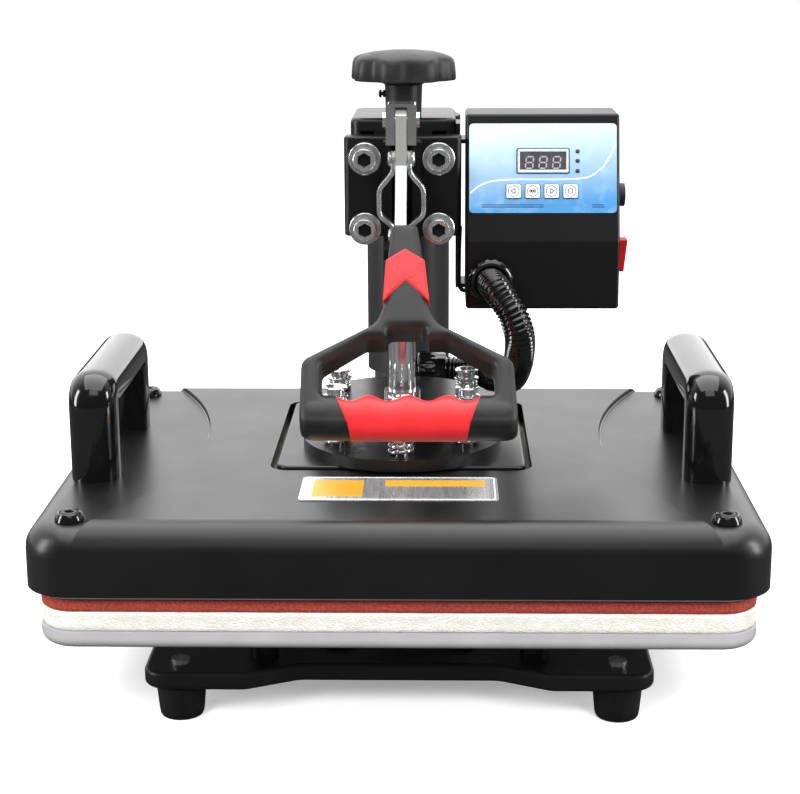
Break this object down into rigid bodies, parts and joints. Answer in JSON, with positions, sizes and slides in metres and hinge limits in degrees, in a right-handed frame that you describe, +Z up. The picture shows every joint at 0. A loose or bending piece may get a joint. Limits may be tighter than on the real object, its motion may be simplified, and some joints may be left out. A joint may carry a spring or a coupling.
{
  "type": "swing-away heat press",
  "caption": "Swing-away heat press: hinged handle and toggle press a heated, covered platen onto a padded tray; control box on the arm.",
  "frame": {"origin": "on the floor, at the middle of the machine's footprint: halfway between the platen's front edge and the base's back edge, 45.1 mm behind the press plunger", "axes": "+X to the operator's right, +Y from the operator to the column, +Z up"},
  "size_m": [0.3996, 0.4098, 0.3553],
  "materials": {
    "black_casting": "rough grained black powder coat on a casting",
    "black_paint": "satin black paint",
    "gloss_paint": "gloss black enamel",
    "black_cover": "fine grained satin black",
    "black_case": "satin black sheet steel",
    "black_plastic": "moulded grained black",
    "gloss_black": "gloss black moulding",
    "foot_rubber": "matte black rubber",
    "grey_paint": "satin silver grey paint",
    "white_sponge": "open cell cream sponge",
    "red_silicone": "speckled brick red silicone foam",
    "plate_aluminium": "coated cast aluminium",
    "insulation": "woven glass wool",
    "zinc_steel": "bright zinc plate",
    "ground_steel": "ground steel",
    "chrome": "mirror chrome",
    "bronze": "sintered bronze",
    "red_plastic": "satin red moulding",
    "blue_overlay": "printed blue film",
    "dark_window": "smoked window",
    "circuit_board": "green laminate",
    "button_white": "white moulding",
    "switch_red": "gloss red moulding"
  },
  "bodies": {
    "base": {"base_frame": "black_casting", "base_feet": "foot_rubber", "foot_screws": "zinc_steel", "column_post": "ground_steel", "post_bolts": "zinc_steel", "lower_tray": "grey_paint", "tray_spacers": "zinc_steel", "tray_screws": "zinc_steel", "sponge_pad": "white_sponge", "silicone_pad": "red_silicone"},
    "swing_arm": {"arm_sleeve": "black_paint", "sleeve_bushes": "bronze", "arm_casting": "black_casting", "head_housing": "black_paint", "control_bracket": "black_paint", "case_front": "black_case", "case_back": "black_case", "panel_overlay": "blue_overlay", "display_window": "dark_window", "control_board": "circuit_board", "switch_frame": "black_plastic", "power_inlet": "black_plastic", "upper_gland": "gloss_black", "cable_conduit": "gloss_black"},
    "knob": {"pressure_knob": "black_plastic", "lead_screw": "zinc_steel"},
    "carriage": {"carriage_nut": "ground_steel", "bracket_left": "black_casting", "bracket_right": "black_casting", "bracket_screws": "zinc_steel", "pivot_clevis": "zinc_steel", "pivot_pin": "chrome", "guide_barrel": "black_paint"},
    "handle": {"lever_bar": "zinc_steel", "handle_yoke": "black_plastic", "handle_grip": "red_plastic", "handle_band": "red_plastic"},
    "links": {"toggle_links": "zinc_steel"},
    "plunger": {"plunger_shaft": "chrome", "plunger_nut": "zinc_steel", "upper_flange": "gloss_paint"},
    "platen": {"lower_flange": "gloss_paint", "flange_bolts": "zinc_steel", "flange_springs": "chrome", "recess_plate": "black_plastic", "platen_cover": "black_cover", "cover_screws": "black_plastic", "heating_plate": "plate_aluminium", "heater_element": "zinc_steel", "insulation_pad": "insulation", "side_handle_left": "gloss_black", "side_handle_right": "gloss_black", "handle_screws": "zinc_steel", "lower_gland": "gloss_black"},
    "down_button": {"button_down": "button_white"},
    "mode_button": {"button_mode": "button_white"},
    "up_button": {"button_up": "button_white"},
    "set_button": {"button_set": "button_white"},
    "rocker": {"switch_rocker": "switch_red"},
    "fuse": {"fuse_cap": "black_plastic"}
  },
  "joints": [
    {"name": "arm_swing", "type": "hinge", "parent": "base", "child": "swing_arm", "pos_m": [0, 0.1523, 0.25], "axis": [0, 0, 1], "range_deg": [-180, 180]},
    {"name": "knob_turn", "type": "hinge", "parent": "swing_arm", "child": "knob", "pos_m": [0, 0.0209, 0.33], "axis": [0, 0, 1], "range_deg": [0, 960]},
    {"name": "pressure_slide", "type": "slide", "parent": "swing_arm", "child": "carriage", "axis": [0, 0, 1], "range_m": [0, 0.008]},
    {"name": "handle_pivot", "type": "hinge", "parent": "carriage", "child": "handle", "pos_m": [0, -0.0451, 0.3193], "axis": [-1, 0, 0], "range_deg": [0, 95]},
    {"name": "link_pivot", "type": "hinge", "parent": "handle", "child": "links", "pos_m": [0, -0.0451, 0.2968], "axis": [-1, 0, 0], "range_deg": [-125.2, 0]},
    {"name": "press_slide", "type": "slide", "parent": "carriage", "child": "plunger", "axis": [0, 0, 1], "range_m": [0, 0.0305], "deforming": ["cable_conduit"]},
    {"name": "platen_float", "type": "slide", "parent": "plunger", "child": "platen", "axis": [0, 0, 1], "range_m": [-0.00555, 0], "deforming": ["flange_springs"]},
    {"name": "down_press", "type": "slide", "parent": "swing_arm", "child": "down_button", "axis": [0, 0.9546, -0.298], "range_m": [0, 0.0006]},
    {"name": "mode_press", "type": "slide", "parent": "swing_arm", "child": "mode_button", "axis": [0, 0.9546, -0.298], "range_m": [0, 0.0006]},
    {"name": "up_press", "type": "slide", "parent": "swing_arm", "child": "up_button", "axis": [0, 0.9546, -0.298], "range_m": [0, 0.0006]},
    {"name": "set_press", "type": "slide", "parent": "swing_arm", "child": "set_button", "axis": [0, 0.9546, -0.298], "range_m": [0, 0.0006]},
    {"name": "rocker_tilt", "type": "hinge", "parent": "swing_arm", "child": "rocker", "pos_m": [0.126, -0.0001, 0.233], "axis": [0, 1, 0], "range_deg": [-12, 0]},
    {"name": "fuse_turn", "type": "hinge", "parent": "swing_arm", "child": "fuse", "pos_m": [0.13, 0.0049, 0.269], "axis": [1, 0, 0], "range_deg": [-90, 0]}
  ],
  "couplings": [
    {"joint": "knob_turn", "follows": "pressure_slide", "rad_per_m": 2094.4},
    {"joint": "handle_pivot", "follows": "press_slide", "rad_per_m": 54.363},
    {"joint": "link_pivot", "follows": "press_slide", "rad_per_m": -71.53},
    {"joint": "platen_float", "follows": "press_slide", "ratio": -0.18033}
  ]
}
